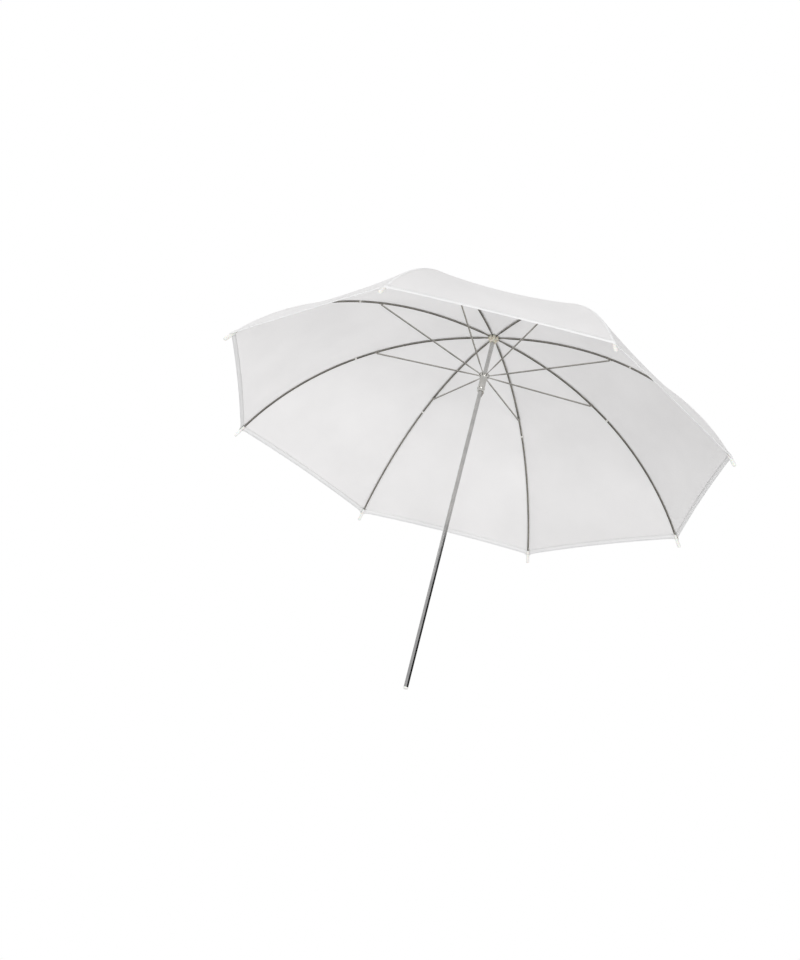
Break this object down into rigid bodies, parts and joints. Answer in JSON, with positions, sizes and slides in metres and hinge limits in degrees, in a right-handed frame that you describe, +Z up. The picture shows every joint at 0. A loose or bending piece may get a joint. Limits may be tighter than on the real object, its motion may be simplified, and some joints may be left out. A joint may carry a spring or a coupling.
{
  "type": "umbrella reflector",
  "caption": "Open white photographic umbrella: curved ribs hinged at a notch, stretchers, a sliding runner with a catch, cloth gores and a straight shaft.",
  "frame": {"origin": "centre of the flat lower end of the shaft", "axes": "+Z up the shaft to the ferrule; the bowl opens towards -Z; +X through rib 1, ribs counted anticlockwise seen from +Z"},
  "size_m": [0.9992, 0.9992, 0.7485],
  "materials": {
    "steel": "plated, satin",
    "dark_steel": "dark blackened steel",
    "runner_metal": "bright nickel",
    "white_plastic": "satin moulded",
    "cloth": "white translucent woven nylon"
  },
  "bodies": {
    "shaft": {"shaft_tube": "steel", "shaft_end_plug": "white_plastic", "stop_pin": "steel", "notch": "white_plastic", "notch_wire": "steel", "canopy_centre": "cloth", "canopy_washer": "white_plastic", "ferrule": "white_plastic"},
    "runner": {"runner": "runner_metal", "runner_collar": "runner_metal"},
    "catch": {"top_catch": "steel"},
    "rib_1_arm": {"rib_1": "dark_steel", "rib_tip_1": "white_plastic", "rib_clip_1": "dark_steel", "gore_1": "cloth"},
    "stretcher_1_arm": {"stretcher_1": "steel"},
    "rib_2_arm": {"rib_2": "dark_steel", "rib_tip_2": "white_plastic", "rib_clip_2": "dark_steel", "gore_2": "cloth"},
    "stretcher_2_arm": {"stretcher_2": "steel"},
    "rib_3_arm": {"rib_3": "dark_steel", "rib_tip_3": "white_plastic", "rib_clip_3": "dark_steel", "gore_3": "cloth"},
    "stretcher_3_arm": {"stretcher_3": "steel"},
    "rib_4_arm": {"rib_4": "dark_steel", "rib_tip_4": "white_plastic", "rib_clip_4": "dark_steel", "gore_4": "cloth"},
    "stretcher_4_arm": {"stretcher_4": "steel"},
    "rib_5_arm": {"rib_5": "dark_steel", "rib_tip_5": "white_plastic", "rib_clip_5": "dark_steel", "gore_5": "cloth"},
    "stretcher_5_arm": {"stretcher_5": "steel"},
    "rib_6_arm": {"rib_6": "dark_steel", "rib_tip_6": "white_plastic", "rib_clip_6": "dark_steel", "gore_6": "cloth"},
    "stretcher_6_arm": {"stretcher_6": "steel"},
    "rib_7_arm": {"rib_7": "dark_steel", "rib_tip_7": "white_plastic", "rib_clip_7": "dark_steel", "gore_7": "cloth"},
    "stretcher_7_arm": {"stretcher_7": "steel"},
    "rib_8_arm": {"rib_8": "dark_steel", "rib_tip_8": "white_plastic", "rib_clip_8": "dark_steel", "gore_8": "cloth"},
    "stretcher_8_arm": {"stretcher_8": "steel"}
  },
  "joints": [
    {"name": "runner_slide", "type": "slide", "parent": "shaft", "child": "runner", "axis": [0, 0, -1], "range_m": [0, 0.35937], "deforming": ["gore_1", "gore_2", "gore_3", "gore_4", "gore_5", "gore_6", "gore_7", "gore_8", "top_catch"]},
    {"name": "catch_press", "type": "slide", "parent": "shaft", "child": "catch", "axis": [0.9239, 0.3827, 0], "range_m": [0, 0.0036], "stiffness_N_per_m": 400},
    {"name": "rib_hinge_1", "type": "hinge", "parent": "shaft", "child": "rib_1_arm", "pos_m": [0.008, 0, 0.73], "axis": [0, 1, 0], "range_deg": [-0.01, 62.41]},
    {"name": "stretcher_hinge_1", "type": "hinge", "parent": "rib_1_arm", "child": "stretcher_1_arm", "pos_m": [0.23779, 0, 0.68584], "axis": [0, -1, 0], "range_deg": [-0.01, 125.18]},
    {"name": "rib_hinge_2", "type": "hinge", "parent": "shaft", "child": "rib_2_arm", "pos_m": [0.00566, 0.00566, 0.73], "axis": [-0.7071, 0.7071, 0], "range_deg": [-0.01, 62.41]},
    {"name": "stretcher_hinge_2", "type": "hinge", "parent": "rib_2_arm", "child": "stretcher_2_arm", "pos_m": [0.16815, 0.16815, 0.68584], "axis": [0.7071, -0.7071, 0], "range_deg": [-0.01, 125.18]},
    {"name": "rib_hinge_3", "type": "hinge", "parent": "shaft", "child": "rib_3_arm", "pos_m": [0, 0.008, 0.73], "axis": [-1, 0, 0], "range_deg": [-0.01, 62.41]},
    {"name": "stretcher_hinge_3", "type": "hinge", "parent": "rib_3_arm", "child": "stretcher_3_arm", "pos_m": [0, 0.23779, 0.68584], "axis": [1, 0, 0], "range_deg": [-0.01, 125.18]},
    {"name": "rib_hinge_4", "type": "hinge", "parent": "shaft", "child": "rib_4_arm", "pos_m": [-0.00566, 0.00566, 0.73], "axis": [-0.7071, -0.7071, 0], "range_deg": [-0.01, 62.41]},
    {"name": "stretcher_hinge_4", "type": "hinge", "parent": "rib_4_arm", "child": "stretcher_4_arm", "pos_m": [-0.16815, 0.16815, 0.68584], "axis": [0.7071, 0.7071, 0], "range_deg": [-0.01, 125.18]},
    {"name": "rib_hinge_5", "type": "hinge", "parent": "shaft", "child": "rib_5_arm", "pos_m": [-0.008, 0, 0.73], "axis": [0, -1, 0], "range_deg": [-0.01, 62.41]},
    {"name": "stretcher_hinge_5", "type": "hinge", "parent": "rib_5_arm", "child": "stretcher_5_arm", "pos_m": [-0.23779, 0, 0.68584], "axis": [0, 1, 0], "range_deg": [-0.01, 125.18]},
    {"name": "rib_hinge_6", "type": "hinge", "parent": "shaft", "child": "rib_6_arm", "pos_m": [-0.00566, -0.00566, 0.73], "axis": [0.7071, -0.7071, 0], "range_deg": [-0.01, 62.41]},
    {"name": "stretcher_hinge_6", "type": "hinge", "parent": "rib_6_arm", "child": "stretcher_6_arm", "pos_m": [-0.16815, -0.16815, 0.68584], "axis": [-0.7071, 0.7071, 0], "range_deg": [-0.01, 125.18]},
    {"name": "rib_hinge_7", "type": "hinge", "parent": "shaft", "child": "rib_7_arm", "pos_m": [0, -0.008, 0.73], "axis": [1, 0, 0], "range_deg": [-0.01, 62.41]},
    {"name": "stretcher_hinge_7", "type": "hinge", "parent": "rib_7_arm", "child": "stretcher_7_arm", "pos_m": [0, -0.23779, 0.68584], "axis": [-1, 0, 0], "range_deg": [-0.01, 125.18]},
    {"name": "rib_hinge_8", "type": "hinge", "parent": "shaft", "child": "rib_8_arm", "pos_m": [0.00566, -0.00566, 0.73], "axis": [0.7071, 0.7071, 0], "range_deg": [-0.01, 62.41]},
    {"name": "stretcher_hinge_8", "type": "hinge", "parent": "rib_8_arm", "child": "stretcher_8_arm", "pos_m": [0.16815, -0.16815, 0.68584], "axis": [-0.7071, -0.7071, 0], "range_deg": [-0.01, 125.18]}
  ],
  "couplings": [
    {"joint": "rib_hinge_1", "follows": "runner_slide", "rad_per_m": 3.0305},
    {"joint": "stretcher_hinge_1", "follows": "runner_slide", "rad_per_m": 6.079},
    {"joint": "rib_hinge_2", "follows": "runner_slide", "rad_per_m": 3.0305},
    {"joint": "stretcher_hinge_2", "follows": "runner_slide", "rad_per_m": 6.079},
    {"joint": "rib_hinge_3", "follows": "runner_slide", "rad_per_m": 3.0305},
    {"joint": "stretcher_hinge_3", "follows": "runner_slide", "rad_per_m": 6.079},
    {"joint": "rib_hinge_4", "follows": "runner_slide", "rad_per_m": 3.0305},
    {"joint": "stretcher_hinge_4", "follows": "runner_slide", "rad_per_m": 6.079},
    {"joint": "rib_hinge_5", "follows": "runner_slide", "rad_per_m": 3.0305},
    {"joint": "stretcher_hinge_5", "follows": "runner_slide", "rad_per_m": 6.079},
    {"joint": "rib_hinge_6", "follows": "runner_slide", "rad_per_m": 3.0305},
    {"joint": "stretcher_hinge_6", "follows": "runner_slide", "rad_per_m": 6.079},
    {"joint": "rib_hinge_7", "follows": "runner_slide", "rad_per_m": 3.0305},
    {"joint": "stretcher_hinge_7", "follows": "runner_slide", "rad_per_m": 6.079},
    {"joint": "rib_hinge_8", "follows": "runner_slide", "rad_per_m": 3.0305},
    {"joint": "stretcher_hinge_8", "follows": "runner_slide", "rad_per_m": 6.079}
  ]
}
